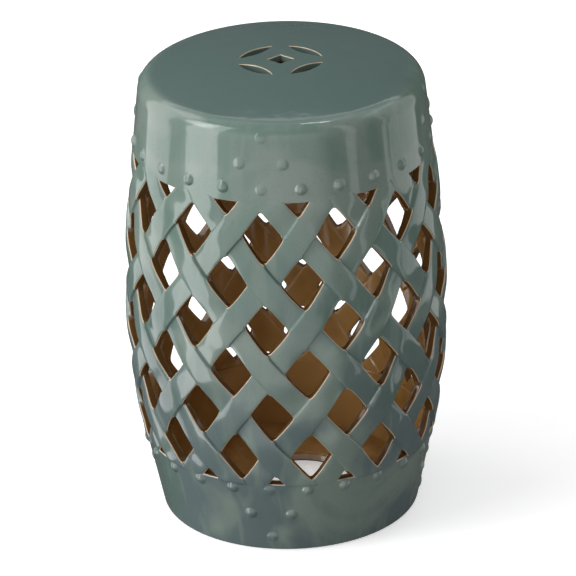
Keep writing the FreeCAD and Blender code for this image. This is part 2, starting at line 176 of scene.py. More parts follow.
def sage_glaze():
    """Sage glaze outside, tan where it runs thin over an edge, and brown glaze inside."""
    material = bpy.data.materials.new("sage_glaze")
    material.use_nodes = True
    tree = material.node_tree
    bsdf = tree.nodes["Principled BSDF"]
    flow = tree.nodes.new("ShaderNodeGroup")
    flow.node_tree = glaze_flow
    place = tree.nodes.new("ShaderNodeTexCoord").outputs["Object"]
    split = tree.nodes.new("ShaderNodeSeparateXYZ")
    tree.links.new(place, split.inputs["Vector"])
    rise = ramp(tree, split.outputs["Z"], tone_low, tone_high)
    body = blend_colours(tree, rise, sage_lower, sage_upper)
    body = blend_colours(tree, ramp(tree, flow.outputs["Clouds"], 0.5, 0.62), body, sage_pale)
    body = blend_colours(tree, ramp(tree, flow.outputs["Clouds"], 0.46, 0.28), body, sage_deep)
    streak = sums(tree, "MULTIPLY", ramp(tree, flow.outputs["Runs"], 0.48, 0.7), 0.5)
    body = blend_colours(tree, streak, body, sage_pale)
    speck = sums(tree, "MULTIPLY", ramp(tree, flow.outputs["Speckle"], 0.62, 0.75), 0.35)
    body = blend_colours(tree, speck, body, sage_deep)
    # Painted shade: the flat of the seat is painted a darker, more even sage, where it lies darker in
    # the light.
    seat_shade_share = sums(tree, "MULTIPLY", ramp(tree, split.outputs["Z"], seat_shade_low, seat_shade_high), 0.88)
    body = blend_colours(tree, seat_shade_share, body, sage_seat_shade)
    edge = tree.nodes.new("ShaderNodeAttribute")
    edge.attribute_name = "thin_glaze"
    inside = tree.nodes.new("ShaderNodeAttribute")
    inside.attribute_name = "brown_inside"
    brown = blend_colours(tree, ramp(tree, flow.outputs["Clouds"], 0.3, 0.7), brown_dark, brown_warm)
    brown = blend_colours(tree, ramp(tree, inside.outputs["Fac"], 0.7, 1.0), brown_cut, brown)
    body = blend_colours(tree, ramp(tree, inside.outputs["Fac"], 0.15, 0.45), body, brown)
    uneven = sums(tree, "ADD", edge.outputs["Fac"],
                  sums(tree, "MULTIPLY", sums(tree, "SUBTRACT", flow.outputs["Runs"], 0.5), 0.8))
    thin = ramp(tree, uneven, 0.35, 0.75)
    body = blend_colours(tree, thin, body, tan_clay)
    tree.links.new(body, bsdf.inputs["Base Color"])
    rough = sums(tree, "ADD", sums(tree, "MULTIPLY", flow.outputs["Clouds"], 0.08), 0.04)
    rough = sums(tree, "ADD", rough, sums(tree, "MULTIPLY", thin, 0.18))
    tree.links.new(rough, bsdf.inputs["Roughness"])
    bsdf.inputs["IOR"].default_value = 1.52
    glaze_ripple(tree, flow.outputs["Surface"], bsdf, 0.35, 0.0012)
    return material


sage = sage_glaze()


def hoop(corners):
    """Turn a closed outline of (radius, height) corners once round the stool's axis."""
    bm = bmesh.new()
    verts = [bm.verts.new((0, -radius, height)) for radius, height in corners]
    edges = [bm.edges.new((verts[n - 1], verts[n])) for n in range(len(verts))]
    bmesh.ops.spin(
        bm, geom=verts + edges, cent=(0, 0, 0), axis=(0, 0, 1), angle=2 * math.pi,
        steps=BAND_STEPS, use_merge=True,
    )
    bmesh.ops.remove_doubles(bm, verts=bm.verts, dist=1e-6)
    bmesh.ops.recalc_face_normals(bm, faces=bm.faces)
    return bm


def soften_ring(bm, radius, height, rounding, segments=4):
    """Round the ring edge that lies at a radius and a height."""
    def on_ring(vert):
        return abs(math.hypot(vert.co.x, vert.co.y) - radius) < 1e-5 and abs(vert.co.z - height) < 1e-5
    ring = [edge for edge in bm.edges if on_ring(edge.verts[0]) and on_ring(edge.verts[1])]
    bmesh.ops.bevel(
        bm, geom=ring, offset=rounding, segments=segments, profile=0.5, affect="EDGES", material=-1,
    )


def brush_glaze(bm, thin_glaze, brown_inside):
    """Note on every vert how thin the glaze is and how brown, from rules that read its place."""
    thin_layer = bm.verts.layers.float.new("thin_glaze")
    brown_layer = bm.verts.layers.float.new("brown_inside")
    for vert in bm.verts:
        vert[thin_layer] = thin_glaze(vert.co)
        vert[brown_layer] = brown_inside(vert.co)


def step_between(value, low, high):
    """A smooth 0 to 1 as value goes from low to high."""
    share = min(1.0, max(0.0, (value - low) / (high - low)))
    return share * share * (3 - 2 * share)


def brown_share(cut, inside):
    """How brown a place is, from how far it lies in a cut edge and how far inside the barrel."""
    return CUT_BROWN * cut + (1 - CUT_BROWN) * inside


def finish_clay(name, bm, material, nodes, sharp_angle=50):
    """Make the piece's object from its bmesh, say what it is made of, and hide the parts that it
    replaces.
    """
    mesh = bpy.data.meshes.new(name)
    bm.to_mesh(mesh)
    bm.free()
    mesh.shade_smooth()
    mesh.set_sharp_from_angle(angle=math.radians(sharp_angle))
    mesh.materials.append(material)
    piece = bpy.data.objects.new(name, mesh)
    bpy.context.collection.objects.link(piece)
    flats = piece.modifiers.new("flat_normals", "WEIGHTED_NORMAL")
    flats.keep_sharp = True
    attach(piece, "root")
    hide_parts(*nodes)
    return piece


foot_hoop = hoop([
    (foot_radius - wall_thickness, 0),
    (foot_radius, 0),
    (foot_band_radius, band_top),
    (foot_band_radius - band_lip_width, band_top),
    (foot_band_radius - wall_thickness, band_top),
])
soften_ring(foot_hoop, foot_radius, 0, foot_edge_radius)
soften_ring(foot_hoop, foot_radius - wall_thickness, 0, foot_edge_radius)
soften_ring(foot_hoop, foot_band_radius, band_top, band_lip_radius)
soften_ring(foot_hoop, foot_band_radius - wall_thickness, band_top, band_lip_radius)


def under_foot_wall(place):
    """How far a place lies inside the foot band's outside face."""
    return foot_radius + foot_flare * place.z - math.hypot(place.x, place.y)


brush_glaze(
    foot_hoop,
    lambda place: (
        step_between(place.z, band_top - lip_tan_start, band_top - lip_tan_full)
        * (1 - step_between(under_foot_wall(place), tan_end, tan_gone))
        + step_between(-place.z, -bare_foot_height, 0)
    ),
    lambda place: brown_share(
        step_between(under_foot_wall(place), cut_brown_start, cut_brown_full),
        step_between(under_foot_wall(place), inside_start, inside_full),
    ),
)
finish_clay("foot_hoop", foot_hoop, sage, ["foot_band"])


# Floor plate. A disc of clay luted inside the foot band, with a round hole cut by hand
# off its middle. It is covered in the glossy brown inside glaze.

floor_low, floor_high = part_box("floor_plate")
floor_radius = floor_high.x
floor_hole_radius = 51.5 * MM
floor_hole_shift = 9 * MM
floor_edge_radius = 2.5 * MM
floor_slope = foot_flare * (floor_high.z - floor_low.z)


def brown_glaze():
    """Glossy brown glaze with brush marks, darker where it pooled."""
    material = bpy.data.materials.new("brown_glaze")
    material.use_nodes = True
    tree = material.node_tree
    bsdf = tree.nodes["Principled BSDF"]
    flow = tree.nodes.new("ShaderNodeGroup")
    flow.node_tree = glaze_flow
    flow.inputs["Cloud Scale"].default_value = 16.0
    body = blend_colours(tree, ramp(tree, flow.outputs["Clouds"], 0.3, 0.7), brown_dark, brown_warm)
    body = blend_colours(tree, ramp(tree, flow.outputs["Runs"], 0.55, 0.9), body, brown_dark)
    tree.links.new(body, bsdf.inputs["Base Color"])
    rough = sums(tree, "ADD", sums(tree, "MULTIPLY", flow.outputs["Clouds"], 0.12), 0.1)
    tree.links.new(rough, bsdf.inputs["Roughness"])
    bsdf.inputs["IOR"].default_value = 1.52
    glaze_ripple(tree, flow.outputs["Surface"], bsdf, 0.4, 0.0015)
    return material


brown = brown_glaze()
floor_disc = bmesh.new()
rims = []
for radius, shift in ((floor_radius, 0), (floor_hole_radius, floor_hole_shift)):
    made = bmesh.ops.create_circle(
        floor_disc, segments=BAND_STEPS, radius=radius,
        matrix=Matrix.Translation((shift, 0, floor_high.z)),
    )
    rims += [edge for edge in floor_disc.edges if edge.verts[0] in made["verts"]]
bmesh.ops.bridge_loops(floor_disc, edges=rims)
grown = bmesh.ops.extrude_face_region(floor_disc, geom=floor_disc.faces[:])
lower_verts = [item for item in grown["geom"] if isinstance(item, bmesh.types.BMVert)]
for vert in lower_verts:
    vert.co.z = floor_low.z
    reach = math.hypot(vert.co.x, vert.co.y)
    if reach > floor_radius - MM:
        vert.co.xy *= (floor_radius - floor_slope) / reach
bmesh.ops.recalc_face_normals(floor_disc, faces=floor_disc.faces)
hole_rims = [
    edge for edge in floor_disc.edges
    if all(
        abs(math.hypot(vert.co.x - floor_hole_shift, vert.co.y) - floor_hole_radius) < 1e-5
        for vert in edge.verts
    ) and abs(edge.verts[0].co.z - edge.verts[1].co.z) < 1e-6
]
bmesh.ops.bevel(
    floor_disc, geom=hole_rims, offset=floor_edge_radius, segments=4, profile=0.5,
    affect="EDGES", material=-1,
)
finish_clay("floor_disc", floor_disc, brown, ["floor_plate"])


# Woven straps. Thirteen strips of clay lean each way round the barrel, each over one
# and under the next, and are joined with slip where they cross and to both bands.
# Their edges are cut clean, so that the glaze runs off them and shows tan clay.

shoulder_low, shoulder_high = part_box("shoulder_band")
lattice_top = shoulder_low.z
wall_top = shoulder_high.z
shoulder_band_radius = shoulder_high.x
shoulder_radius = 139.5 * MM
shoulder_lean = (shoulder_band_radius - shoulder_radius) / (wall_top - lattice_top)
belly_radius = 157 * MM
belly_height = 215 * MM
STRAPS = 13
ROWS = 6
ROW_PITCH = 46.9 * MM
first_row = band_top + 30.5 * MM
strap_width = 25 * MM
strap_waist = 0.9 * MM
opening_corner_radius = 3.2 * MM
strap_depth = 9.5 * MM
weave_relief = 3.4 * MM
strap_lip_radius = 1.3 * MM
strap_shoulder_drop = 0.6 * MM
crossing_skirt = 1.6 * MM
strap_wander = 0.5 * MM
WANDER_RATE = 2.1
back_clearance = 0.5 * MM
# How far the straps' feet and heads stand out from the bands, and how deep they sink into them.
foot_proud = {1: 0.3 * MM, -1: 1.8 * MM}
head_proud = {1: 0.15 * MM, -1: 0.4 * MM}
foot_sink = {1: 2.0 * MM, -1: 4.0 * MM}
foot_sink_start = {1: 0, -1: 1.0 * MM}
foot_sink_full = {1: 12 * MM, -1: 5.0 * MM}
head_sink = 1.6 * MM
head_sink_full = 13 * MM
corner_root, corner_fade = 1 * MM, 4 * MM
NEAR_HALF_ANGLE, FAR_HALF_ANGLE = 51, 39
CROSSING_FADE = 0.05
strap_tan_full = 0.35 * MM
strap_tan_end, strap_tan_gone = 0.75 * MM, 1.2 * MM
strap_brown_start, strap_brown_full = 0.6 * MM, 1.2 * MM
crossing_seam_depth = 4 * MM
LATTICE_TURN = 7.97
LATTICE_LEAN = -3.4
STATIONS_PER_ROW = 48
HALF_TURN = 180 / STRAPS
arc_step = math.radians(HALF_TURN) * belly_radius
step_length = math.hypot(arc_step, ROW_PITCH)
STRAP_SINE = ROW_PITCH / step_length
STRAP_COSINE = arc_step / step_length
CROSSING_REACH = strap_width / (4 * STRAP_SINE * STRAP_COSINE) / step_length
CROSSING_SKEW = STRAP_SINE ** 2 - STRAP_COSINE ** 2
FAR_CORNER = CROSSING_REACH * (1 + CROSSING_SKEW)
NEAR_CORNER = CROSSING_REACH * (1 - CROSSING_SKEW)
FOOT_ROW = (band_top - first_row) / ROW_PITCH
HEAD_ROW = (lattice_top - first_row) / ROW_PITCH
STRAP_OVERRUN = 0.32


def wall_radius(height):
    """Outside radius of the barrel between the bands, which it meets without a corner."""
    if height < band_top:
        return foot_band_radius + foot_flare * (height - band_top)
    if height > lattice_top:
        return shoulder_band_radius - shoulder_lean * (height - lattice_top)
    if height < belly_height:
        start, end, span = foot_band_radius, belly_radius, belly_height - band_top
        along, start_pull, end_pull = (height - band_top) / span, foot_flare * span, 0.0
    else:
        start, end, span = belly_radius, shoulder_band_radius, lattice_top - belly_height
        along, start_pull, end_pull = (height - belly_height) / span, 0.0, -shoulder_lean * span
    square, cube = along ** 2, along ** 3
    rise = 3 * square - 2 * cube
    return (
        start * (1 - rise) + end * rise
        + start_pull * (cube - 2 * square + along) + end_pull * (cube - square)
    )


def on_top(lean, row):
    """The straps that lean right pass over in every second row, from the second row up."""
    return (row % 2 == 1) == (lean == 1)


def weave_height(lean, row):
    """How far a strap's face stands out from the barrel's surface at a row."""
    swing = math.sin(math.pi / 2 * math.cos(math.pi * row))
    wave = -lean * swing * weave_relief / 2
    wave += (foot_proud[lean] - wave) * (1 - step_between(row, FOOT_ROW, -FAR_CORNER))
    return wave + (head_proud[lean] - wave) * step_between(row, ROWS - 1 + FAR_CORNER, HEAD_ROW)


def half_width(row):
    """Half a strap's width at a row: full where straps cross, drawn in between."""
    past_corner = max(0.0, abs(row - round(row)) - NEAR_CORNER) / (0.5 - NEAR_CORNER)
    return strap_width / 2 - strap_waist * past_corner * (2 - past_corner)


def over_crossing(lean, side, row):
    """1 where this edge of a strap lies across another strap, 0 where it borders an opening."""
    nearest = round(row)
    offset = (row - nearest) * lean * side
    inside = min(offset + FAR_CORNER, NEAR_CORNER - offset)
    return step_between(inside, -CROSSING_FADE, CROSSING_FADE)


def corner_fill(lean, side, row):
    """How far an edge swells where it meets a crossing strap, to round the opening's corner."""
    offset = (row - round(row)) * lean * side
    swell = 0.0
    corners = ((offset - NEAR_CORNER, NEAR_HALF_ANGLE), (-FAR_CORNER - offset, FAR_HALF_ANGLE))
    for past, half_angle in corners:
        along = past * step_length
        half_angle = math.radians(half_angle)
        tangent = opening_corner_radius / math.tan(half_angle)
        spur = opening_corner_radius / math.sin(half_angle) - opening_corner_radius
        middle, fullest = spur * math.cos(half_angle), spur * math.sin(half_angle)
        if along >= tangent or along < -corner_fade:
            continue
        if along > middle:
            reach = opening_corner_radius ** 2 - (tangent - along) ** 2
            swell = max(swell, opening_corner_radius - math.sqrt(reach))
        else:
            swell = max(swell, fullest * step_between(along, -corner_fade, -corner_root))
    return swell


def strap_blank():
    """A straight strip of clay: X across, Y along in rows, Z down from its face, edges softened."""
    bm = bmesh.new()
    low_row, high_row = FOOT_ROW - STRAP_OVERRUN, HEAD_ROW + STRAP_OVERRUN
    bmesh.ops.create_cube(bm, size=1)
    bmesh.ops.scale(bm, vec=(strap_width, high_row - low_row, strap_depth), verts=bm.verts)
    bmesh.ops.translate(bm, vec=(0, (low_row + high_row) / 2, -strap_depth / 2), verts=bm.verts)
    long_edges = [edge for edge in bm.edges if abs(edge.verts[0].co.y - edge.verts[1].co.y) > 1]
    face_edges = [edge for edge in long_edges if edge.verts[0].co.z > -MM]
    back_edges = [edge for edge in long_edges if edge.verts[0].co.z < -MM]
    bmesh.ops.bevel(
        bm, geom=face_edges, offset=strap_lip_radius, segments=4, profile=0.5,
        affect="EDGES", material=-1,
    )
    bmesh.ops.bevel(
        bm, geom=back_edges, offset=strap_lip_radius * 1.5, segments=2, profile=0.5,
        affect="EDGES", material=-1,
    )
    cross_edges = [
        edge for edge in bm.edges
        if abs(edge.verts[0].co.x - edge.verts[1].co.x) > strap_width / 2
    ]
    bmesh.ops.subdivide_edges(bm, edges=cross_edges, cuts=9)
    wall_edges = [
        edge for edge in bm.edges
        if abs(edge.verts[0].co.z - edge.verts[1].co.z) > strap_depth / 2
    ]
    bmesh.ops.subdivide_edges(bm, edges=wall_edges, cuts=4)
    long_edges = [edge for edge in bm.edges if abs(edge.verts[0].co.y - edge.verts[1].co.y) > 1]
    stations = round((high_row - low_row) * STATIONS_PER_ROW)
    bmesh.ops.subdivide_edges(bm, edges=long_edges, cuts=stations)
    return bm


def sink_into_bands(lean, height):
    """How far a strap's end is pressed down into the band that it meets."""
    if height > lattice_top:
        return head_sink * step_between(height, lattice_top, lattice_top + head_sink_full)
    return foot_sink[lean] * step_between(band_top - height, foot_sink_start[lean], foot_sink_full[lean])


def lay_strap(blank, lean, number):
    """Lay a copy of the blank on the barrel, woven with the straps that it crosses."""
    bm = blank.copy()
    thin_layer = bm.verts.layers.float.new("thin_glaze")
    brown_layer = bm.verts.layers.float.new("brown_inside")
    start_turn = math.radians(LATTICE_TURN + HALF_TURN + number * 360 / STRAPS)
    lattice_height = lattice_top - band_top
    wander_phase = 2.4 * number + (0 if lean == 1 else 1.3)
    for vert in bm.verts:
        across, row, depth = vert.co.x, vert.co.y, -vert.co.z
        share = across / (strap_width / 2)
        side = 1 if share > 0 else -1
        crossing = over_crossing(lean, side, row)
        nearest = round(row)
        lies_over = on_top(lean, nearest) or not 0 <= nearest < ROWS
        crossing_on_top = crossing if lies_over else 0.0
        reach = share * half_width(row) + side * abs(share) ** 5 * corner_fill(lean, side, row)
        if abs(share) > 0.9 and crossing_on_top > 0:
            reach += side * crossing_skirt * crossing_on_top * step_between(depth, 0.8 * MM, 4.5 * MM)
        reach += strap_wander * math.sin(WANDER_RATE * row + wander_phase)
        lift = weave_height(lean, row) * (1 - depth / strap_depth)
        dome = strap_shoulder_drop * (abs(share) ** 5) * (1 - depth / strap_depth)
        back_lift = (back_clearance if on_top(lean, nearest) else 0) * depth / strap_depth
        height = first_row + row * ROW_PITCH - lean * reach * STRAP_COSINE
        twist = math.radians(LATTICE_LEAN) * row * ROW_PITCH / lattice_height
        turn = start_turn + lean * row * math.radians(HALF_TURN) + twist
        turn += reach * STRAP_SINE / wall_radius(height)
        out = lift - dome - depth + back_lift
        if height > lattice_top or height < band_top:
            out -= sink_into_bands(lean, height) * (1 - depth / strap_depth)
        radius = wall_radius(height) + out
        vert.co = (radius * math.sin(turn), -radius * math.cos(turn), height)
        cut_edge = 1 - crossing
        thin = step_between(depth, 0, strap_tan_full)
        vert[thin_layer] = cut_edge * thin * (1 - step_between(depth, strap_tan_end, strap_tan_gone))
        cut_brown = step_between(depth, strap_brown_start, strap_brown_full)
        vert[brown_layer] = brown_share(
            cut_brown * (cut_edge if depth < crossing_seam_depth else 1),
            step_between(depth, strap_depth - 2 * MM, strap_depth - MM),
        )
    bmesh.ops.recalc_face_normals(bm, faces=bm.faces)
    return bm


blank = strap_blank()
for lean, side in ((1, "right"), (-1, "left")):
    for number in range(STRAPS):
        label = f"{side}_{number + 1:02d}"
        strap = lay_strap(blank, lean, number)
        finish_clay(f"woven_{label}", strap, sage, [f"strap_{label}"])
blank.free()


# Shoulder band and seat slab. The band is a hoop that leans in above the lattice, and the slab
# is pressed on top with a rolled edge, so that no seam shows between them. The slab is
# gently crowned, and pierced with an old coin's outline: four petals round a diamond.

roll_radius = 19 * MM
crown_radius = 690 * MM
seat_thickness = 13 * MM
roll_steps = 18
crown_grid = 6 * MM
# How far above the band's lower edge the tan clay starts to show, where it shows in full,
# and how far under the outside face it ends.
eave_tan_start, eave_tan_full = 1.2 * MM, 0.3 * MM
eave_tan_end, eave_tan_gone = 1.2 * MM, 2.0 * MM
piercing_lip = 1.0 * MM
# How far under the seat's face the piercings' walls turn tan, stay sage, turn brown, and end.
pierced_tan_start, pierced_tan_full = 0.1 * MM, 0.4 * MM
pierced_tan_end, pierced_tan_gone = 0.8 * MM, 1.4 * MM
pierced_brown_start, pierced_brown_full = 5.4 * MM, 8.0 * MM
wall_slices = (1.5 * MM, 5.5 * MM, 8.0 * MM)
rebate_ledge = 6 * MM
rim_ledge = 3 * MM
lean_angle = math.atan(shoulder_lean)
roll_middle = shoulder_radius - roll_radius * math.cos(lean_angle)
roll_level = wall_top - roll_radius * math.sin(lean_angle)
crown_reach = crown_radius - roll_radius
crown_level = roll_level - math.sqrt(crown_reach ** 2 - roll_middle ** 2)
crown_tilt = math.asin(roll_middle / crown_reach)
rim_radius = roll_middle + roll_radius * math.sin(crown_tilt)
rim_level = roll_level + roll_radius * math.cos(crown_tilt)
rebate_radius = shoulder_radius - wall_thickness
under_crown = crown_radius - seat_thickness
rebate_level = crown_level + math.sqrt(under_crown ** 2 - rebate_radius ** 2)

shoulder_hoop = hoop([
    (shoulder_band_radius - wall_thickness, lattice_top),
    (shoulder_band_radius, lattice_top),
    (shoulder_radius, wall_top),
    (shoulder_radius - wall_thickness, wall_top),
])
soften_ring(shoulder_hoop, shoulder_band_radius, lattice_top, band_lip_radius)
soften_ring(shoulder_hoop, shoulder_band_radius - wall_thickness, lattice_top, band_lip_radius)


def under_shoulder_wall(place):
    """How far a place lies inside the shoulder band's outside face."""
    return wall_radius(place.z) - math.hypot(place.x, place.y)


brush_glaze(
    shoulder_hoop,
    lambda place: (
        step_between(-place.z, -lattice_top - eave_tan_start, -lattice_top - eave_tan_full)
        * (1 - step_between(under_shoulder_wall(place), eave_tan_end, eave_tan_gone))
    ),
    lambda place: brown_share(
        step_between(under_shoulder_wall(place), cut_brown_start, cut_brown_full),
        step_between(under_shoulder_wall(place), inside_start, inside_full),
    ),
)
finish_clay("shoulder_hoop", shoulder_hoop, sage, ["shoulder_band"])

roll = []
for n in range(roll_steps + 1):
    angle = lean_angle + (math.pi / 2 - crown_tilt - lean_angle) * n / roll_steps
    roll.append((
        roll_middle + roll_radius * math.cos(angle), roll_level + roll_radius * math.sin(angle),
    ))
rebate = [
    (rebate_radius - rebate_ledge, rebate_level), (rebate_radius, rebate_level),
    (rebate_radius, wall_top),
]
slab_outline = rebate + roll + [(rim_radius - rim_ledge, rim_level)]
slab = bmesh.new()
slab_verts = [slab.verts.new((0, -radius, height)) for radius, height in slab_outline]
slab_edges = [slab.edges.new(pair) for pair in zip(slab_verts, slab_verts[1:])]
bmesh.ops.spin(
    slab, geom=slab_verts + slab_edges, cent=(0, 0, 0), axis=(0, 0, 1), angle=2 * math.pi,
    steps=BAND_STEPS, use_merge=True,
)
for level in (rim_level, rebate_level):
    rim = [edge for edge in slab.edges if edge.is_boundary and abs(edge.verts[0].co.z - level) < 1e-5]
    bmesh.ops.edgeloop_fill(slab, edges=rim)
bmesh.ops.recalc_face_normals(slab, faces=slab.faces)

coin_half_width = 40 * MM
coin_half_depth = 35.2 * MM
coin_side_tip = 7.7 * MM
coin_front_tip = 8.6 * MM
petal_bulge = 5.8 * MM
eye_half_width = 12.7 * MM
eye_half_depth = 11.1 * MM
coin_reach = 50 * MM
petal_steps = 14


def arc_points(start, finish, bulge, steps):
    """Points from start to finish on an arc that bulges to the right of that way."""
    chord = finish - start
    half = chord.length / 2
    radius = (half ** 2 + bulge ** 2) / (2 * bulge)
    right = Vector((chord.y, -chord.x)).normalized()
    centre = (start + finish) / 2 + right * (bulge - radius)
    sweep = 2 * math.asin(half / radius)
    spoke = start - centre
    return [centre + Matrix.Rotation(sweep * n / steps, 2) @ spoke for n in range(steps)]


def punch(points):
    """A closed prism through the slab, from its outline."""
    bm = bmesh.new()
    corners = [bm.verts.new((point.x, point.y, rim_level - 2 * seat_thickness)) for point in points]
    made = bmesh.ops.contextual_create(bm, geom=corners)
    grown = bmesh.ops.extrude_face_region(bm, geom=made["faces"])
    raised = [item for item in grown["geom"] if isinstance(item, bmesh.types.BMVert)]
    bmesh.ops.translate(bm, vec=(0, 0, 3 * seat_thickness), verts=raised)
    bmesh.ops.recalc_face_normals(bm, faces=bm.faces)
    return bm


outlines = []
for far in (1, -1):
    for right in (1, -1):
        side_tip = Vector((right * coin_half_width, far * coin_side_tip))
        end_tip = Vector((right * coin_front_tip, far * coin_half_depth))
        outlines.append(
            arc_points(side_tip, end_tip, petal_bulge, petal_steps)
            + arc_points(end_tip, side_tip, petal_bulge, petal_steps)
        )
outlines.append([
    Vector((0, -eye_half_depth)), Vector((eye_half_width, 0)),
    Vector((0, eye_half_depth)), Vector((-eye_half_width, 0)),
])
slab_mesh = bpy.data.meshes.new("slab_blank")
slab.to_mesh(slab_mesh)
slab.free()
slab_blank = bpy.data.objects.new("slab_blank", slab_mesh)
bpy.context.collection.objects.link(slab_blank)
punches = []
for number, points in enumerate(outlines):
    prism = punch(points)
    punch_mesh = bpy.data.meshes.new(f"punch_{number}")
    prism.to_mesh(punch_mesh)
    prism.free()
    tool = bpy.data.objects.new(f"punch_{number}", punch_mesh)
    bpy.context.collection.objects.link(tool)
    cut = slab_blank.modifiers.new(tool.name, "BOOLEAN")
    cut.operation = "DIFFERENCE"
    cut.solver = "EXACT"
    cut.object = tool
    punches.append(tool)
bpy.context.view_layer.update()
pierced = bmesh.new()
pierced.from_object(slab_blank, bpy.context.evaluated_depsgraph_get())
for item in punches + [slab_blank]:
    bpy.data.objects.remove(item, do_unlink=True)
bmesh.ops.remove_doubles(pierced, verts=pierced.verts, dist=1e-6)
piercing_edges = [
    edge for edge in pierced.edges
    if len(edge.link_faces) == 2
    and all(math.hypot(vert.co.x, vert.co.y) < coin_reach for vert in edge.verts)
    and all(abs(vert.co.z - rim_level) < 1e-5 for vert in edge.verts)
    and min(abs(face.normal.z) for face in edge.link_faces) < 0.5
]
bmesh.ops.bevel(
    pierced, geom=piercing_edges, offset=piercing_lip, segments=4, profile=0.5,
    affect="EDGES", material=-1,
)
for depth in wall_slices:
    walls = [face for face in pierced.faces if face.calc_center_median().xy.length < coin_reach]
    parts = {item for face in walls for item in (face, *face.edges, *face.verts)}
    bmesh.ops.bisect_plane(
        pierced, geom=list(parts), plane_co=(0, 0, rim_level - depth), plane_no=(0, 0, 1),
    )
brush_glaze(
    pierced,
    lambda place: (
        step_between(rim_level - place.z, pierced_tan_start, pierced_tan_full)
        * (1 - step_between(rim_level - place.z, pierced_tan_end, pierced_tan_gone))
        * (1 if place.xy.length < coin_reach else 0)
    ),
    lambda place: 0 if place.xy.length > rebate_radius - MM else brown_share(
        step_between(rim_level - place.z, pierced_brown_start, pierced_brown_full),
        step_between(rim_level - place.z, seat_thickness - 2 * MM, seat_thickness),
    ),
)
# The blank is cut into a fine grid, so that it can be pressed up into its crown.
cells = math.ceil(rim_radius / crown_grid)
for n in range(-cells, cells + 1):
    for across in ((1, 0, 0), (0, 1, 0)):
        bmesh.ops.bisect_plane(
            pierced, geom=pierced.verts[:] + pierced.edges[:] + pierced.faces[:],
            plane_co=Vector(across) * n * crown_grid, plane_no=across,
        )
for vert in pierced.verts:
    reach = vert.co.xy.length
    top_lift = math.sqrt(crown_radius ** 2 - min(reach, rim_radius) ** 2)
    top_lift -= math.sqrt(crown_radius ** 2 - rim_radius ** 2)
    under_lift = math.sqrt(under_crown ** 2 - min(reach, rebate_radius) ** 2)
    under_lift -= math.sqrt(under_crown ** 2 - rebate_radius ** 2)
    share = min(1.0, max(0.0, (vert.co.z - rebate_level) / (rim_level - rebate_level)))
    vert.co.z += under_lift + (top_lift - under_lift) * share
finish_clay("pierced_seat", pierced, sage, ["seat_slab"], sharp_angle=35)


# Studs. Small balls of clay pressed on in a row round each band, with four clusters
# of three above the upper row and below the lower row. The glaze softens their edges.

stud_radius = 5.9 * MM
stud_skirt = 7.8 * MM
skirt_height = 0.5 * MM
flat_stud_rise = 1.2 * MM
stud_sink = 1.2 * MM
stud_rim_sink = 0.1 * MM
STUD_RINGS = 12
STUD_SEGMENTS = 24
STUD_TURN = -8.6
CLUSTER_ANGLE = 8.4
STUDS_IN_ROW = 24
CLUSTERS = 4
# Each band's row, pair and single: how high it sits, and how far its studs stand out.
stud_levels = {
    "upper": (
        (lattice_top + 13.5 * MM, 3.0 * MM), (lattice_top + 38.5 * MM, 1.3 * MM),
        (roll_level + roll_radius - 12.5 * MM, 1.0 * MM),
    ),
    "lower": (
        (band_top - 7.5 * MM, 2.9 * MM), (band_top - 36.5 * MM, 2.3 * MM), (15.5 * MM, 1.3 * MM),
    ),
}


def stud_rise(reach, height):
    """How far a stud stands out at a distance from its middle: a ball's cap in a glaze skirt."""
    ball = (stud_radius ** 2 + height ** 2) / (2 * height)
    cap = max(0.0, math.sqrt(ball ** 2 - reach ** 2) - ball + height) if reach < ball else 0.0
    skirt = skirt_height * (1 - reach / stud_skirt) ** 2
    return math.sqrt(cap ** 2 + skirt ** 2)


def band_radius(height):
    """Outside radius of a band, or of the seat's rolled edge above it."""
    if height < roll_level + roll_radius * math.sin(lean_angle):
        return wall_radius(height)
    return roll_middle + math.sqrt(max(0.0, roll_radius ** 2 - (height - roll_level) ** 2))


def press_stud(bm, turn, height, stands_out):
    """Add a stud: a ball of clay pressed flat on the band's leaning face."""
    outline = []
    for n in range(STUD_RINGS):
        reach = stud_skirt * n / STUD_RINGS
        outline.append((reach, stud_rise(reach, stands_out)))
    outline += [(stud_skirt, -stud_rim_sink), (stud_skirt * 0.9, -stud_sink), (0, -stud_sink)]
    verts = [bm.verts.new((reach, 0, rise)) for reach, rise in outline]
    edges = [bm.edges.new(pair) for pair in zip(verts, verts[1:])]
    before = set(bm.verts) - set(verts)
    bmesh.ops.spin(
        bm, geom=verts + edges, cent=(0, 0, 0), axis=(0, 0, 1), angle=2 * math.pi,
        steps=STUD_SEGMENTS, use_merge=True,
    )
    angle = math.radians(turn)
    for vert in bm.verts:
        if vert in before:
            continue
        across, up, rise = vert.co
        level = height + up
        radius = band_radius(level) + rise
        around = angle + across / band_radius(height)
        vert.co = (radius * math.sin(around), -radius * math.cos(around), level)


for place, (row_place, pair_place, single_place) in stud_levels.items():
    # The row's stud at each cluster is pressed almost flat.
    flat_place = (row_place[0], flat_stud_rise)
    studs_apart = STUDS_IN_ROW // CLUSTERS
    groups = {f"{place}_stud_row": [
        (STUD_TURN + n * 360 / STUDS_IN_ROW, row_place if n % studs_apart else flat_place)
        for n in range(STUDS_IN_ROW)
    ]}
    for n in range(CLUSTERS):
        middle = STUD_TURN + n * 360 / CLUSTERS
        groups[f"{place}_stud_cluster_{n + 1}"] = [
            (middle - CLUSTER_ANGLE, pair_place), (middle + CLUSTER_ANGLE, pair_place),
            (middle, single_place),
        ]
    for node, spots in groups.items():
        studs = bmesh.new()
        for turn, (level, stands_out) in spots:
            press_stud(studs, turn, level, stands_out)
        bmesh.ops.remove_doubles(studs, verts=studs.verts, dist=1e-6)
        bmesh.ops.recalc_face_normals(studs, faces=studs.faces)
        finish_clay(node.replace("stud", "pressed_stud"), studs, sage, [node], 80)


# Studio. A white paper sweep under the stool, a room of soft boxes round it, and the camera
# that looks down a little on the front of the stool, with a slight roll.

